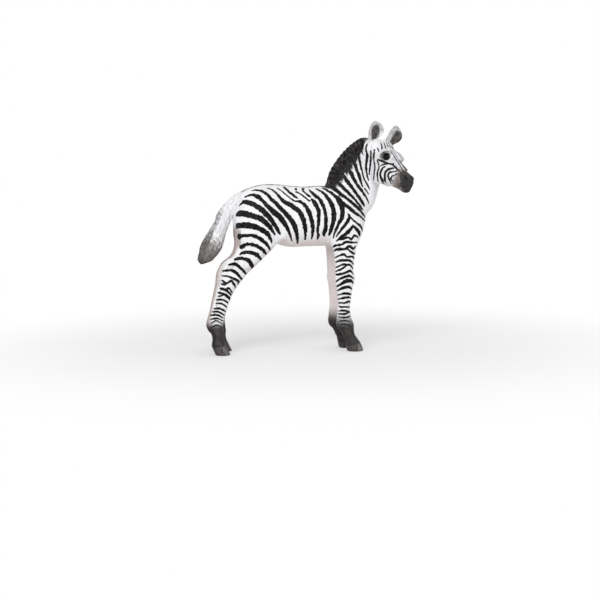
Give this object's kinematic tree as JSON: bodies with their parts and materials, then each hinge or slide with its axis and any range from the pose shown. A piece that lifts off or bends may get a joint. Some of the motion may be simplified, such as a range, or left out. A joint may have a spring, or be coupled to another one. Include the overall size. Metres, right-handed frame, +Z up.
{
  "type": "toy zebra foal figure",
  "caption": "Small standing zebra foal figure with its head turned to its right, striped coat, upright mane, dark muzzle and hooves, resting on flat soles.",
  "frame": {"origin": "under the middle of the figure's bounding box, on the plane of the four soles", "axes": "+Z up, +X towards the breast and head end, +Y to the animal's left; the head is turned towards -Y"},
  "size_m": [0.0694, 0.024, 0.076],
  "materials": {
    "coat": "white vinyl with hand-painted near-black stripes, charcoal muzzle and feet, glossy black eyes",
    "mane": "matt black over moulded hair, fading to grey at the poll",
    "ear": "white with grey hair strokes and a dark grey-brown cup",
    "tail": "white with grey hair strokes, grey-brown tuft"
  },
  "bodies": {
    "root": {"trunk": "coat", "neck_and_head": "coat", "foreleg_right": "coat", "foreleg_left": "coat", "hindleg_right": "coat", "hindleg_left": "coat", "mane": "mane", "ear_right": "ear", "ear_left": "ear", "tail": "tail"}
  },
  "joints": []
}
